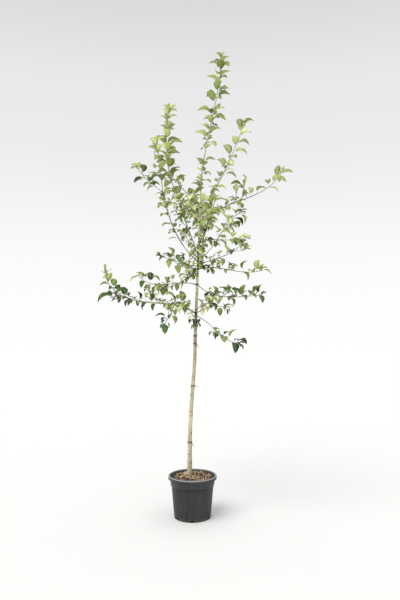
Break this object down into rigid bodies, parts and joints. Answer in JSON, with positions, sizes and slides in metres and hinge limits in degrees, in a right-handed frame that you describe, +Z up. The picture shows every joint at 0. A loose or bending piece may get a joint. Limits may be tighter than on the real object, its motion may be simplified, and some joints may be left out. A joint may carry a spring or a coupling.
{
  "type": "potted crab apple tree",
  "caption": "Young crab apple tree with a clear stem and an open, upright leafy crown, standing in a round fluted nursery pot filled with compost.",
  "frame": {"origin": "middle of the pot's flat underside, on the surface it stands on", "axes": "+Z up along the trunk, +X to the right in the picture, +Y away from the viewer"},
  "size_m": [1.2161, 0.8233, 2.788],
  "materials": {
    "pot_plastic": "charcoal moulded plastic, satin on the rim and dull on the fluted wall",
    "compost": "moist compost topped with bark chips",
    "bark": "smooth pale olive-buff bark with darker knots, lenticels and scars",
    "foliage": "fresh green leaves, satin above and paler below, on thin brown twigs"
  },
  "bodies": {
    "root": {"bough_back_low": "bark", "bough_back_middle": "bark", "bough_back_steep": "bark", "bough_back_upper": "bark", "bough_front_low": "bark", "bough_front_middle": "bark", "bough_front_upper": "bark", "bough_leader": "bark", "bough_left_back": "bark", "bough_left_drooping": "bark", "bough_left_front": "bark", "bough_left_inner": "bark", "bough_left_long": "bark", "bough_left_tall": "bark", "bough_left_upper": "bark", "bough_right_front": "bark", "bough_right_level": "bark", "bough_right_long": "bark", "bough_right_low": "bark", "bough_right_rising": "bark", "bough_right_steep": "bark", "bough_right_tall": "bark", "bough_right_twig": "bark", "bough_right_wide": "bark", "compost": "compost", "foliage_back_low": "foliage", "foliage_back_middle": "foliage", "foliage_back_steep": "foliage", "foliage_back_upper": "foliage", "foliage_front_low": "foliage", "foliage_front_middle": "foliage", "foliage_front_upper": "foliage", "foliage_leader": "foliage", "foliage_left_back": "foliage", "foliage_left_drooping": "foliage", "foliage_left_front": "foliage", "foliage_left_inner": "foliage", "foliage_left_long": "foliage", "foliage_left_spur": "foliage", "foliage_left_tall": "foliage", "foliage_left_upper": "foliage", "foliage_right_front": "foliage", "foliage_right_level": "foliage", "foliage_right_long": "foliage", "foliage_right_low": "foliage", "foliage_right_rising": "foliage", "foliage_right_steep": "foliage", "foliage_right_tall": "foliage", "foliage_right_twig": "foliage", "foliage_right_wide": "foliage", "foliage_spur_back": "foliage", "foliage_spur_front": "foliage", "foliage_spur_left": "foliage", "foliage_spur_low": "foliage", "foliage_spur_middle": "foliage", "foliage_spur_right": "foliage", "pot": "pot_plastic", "trunk": "bark"}
  },
  "joints": []
}
